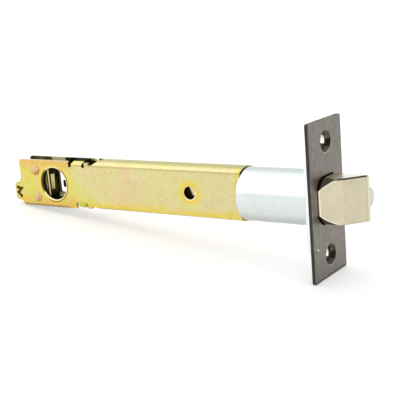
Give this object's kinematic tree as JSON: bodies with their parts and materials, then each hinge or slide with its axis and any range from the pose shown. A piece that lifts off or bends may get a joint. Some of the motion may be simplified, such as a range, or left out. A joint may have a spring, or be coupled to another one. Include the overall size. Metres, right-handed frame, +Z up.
{
  "type": "deadlatch",
  "caption": "Tubular spring latch with a bevelled bolt, a deadlocking plunger beside it, a faceplate, a round barrel and a long flat case with a spindle hole.",
  "frame": {"origin": "centre of the back of the faceplate, midway between its screw holes", "axes": "+X out of the door along the bolt, +Z up the faceplate, +Y across the door towards the plunger"},
  "size_m": [0.1643, 0.0254, 0.0572],
  "materials": {
    "faceplate_bronze": "dark bronze, satin",
    "white_zinc": "bright zinc plate",
    "yellow_zinc": "yellow chromate over zinc",
    "nickel_brass": "satin nickel plated brass",
    "bronze": "bare bronze",
    "spring_steel": "spring wire"
  },
  "bodies": {
    "case": {"faceplate": "faceplate_bronze", "back_plate": "white_zinc", "barrel": "white_zinc", "case_half_near": "yellow_zinc", "case_half_far": "yellow_zinc", "guide_button_near_upper": "bronze", "guide_button_near_lower": "bronze", "guide_button_far_upper": "bronze", "guide_button_far_lower": "bronze", "lever_carrier": "white_zinc", "lever_pivot_pin": "spring_steel", "spring_plate": "white_zinc", "bolt_spring": "spring_steel", "plunger_spring": "spring_steel", "lever_spring": "spring_steel"},
    "bolt": {"latch_bolt": "nickel_brass", "bolt_link_pin": "spring_steel", "link_bar": "yellow_zinc", "retractor": "yellow_zinc", "retractor_rivet_upper": "white_zinc", "retractor_rivet_lower": "white_zinc"},
    "plunger": {"deadlatch_plunger": "nickel_brass", "plunger_pin": "spring_steel", "plunger_bar": "yellow_zinc"},
    "lever": {"deadlock_lever": "white_zinc", "lever_follower_pin": "spring_steel"}
  },
  "joints": [
    {"name": "bolt_slide", "type": "slide", "parent": "case", "child": "bolt", "axis": [1, 0, 0], "range_m": [-0.0138, 0], "stiffness_N_per_m": 450, "springref_m": 0.009, "deforming": ["bolt_spring"]},
    {"name": "plunger_slide", "type": "slide", "parent": "case", "child": "plunger", "axis": [1, 0, 0], "range_m": [-0.0138, 0], "stiffness_N_per_m": 220, "springref_m": 0.008, "deforming": ["plunger_spring"]},
    {"name": "lever_pivot", "type": "hinge", "parent": "case", "child": "lever", "pos_m": [-0.0561, 0, 0.0056], "axis": [0, 1, 0], "range_deg": [0, 11], "deforming": ["lever_spring"]}
  ],
  "couplings": [
    {"joint": "lever_pivot", "follows": "plunger_slide", "rad_per_m": -13.911}
  ]
}
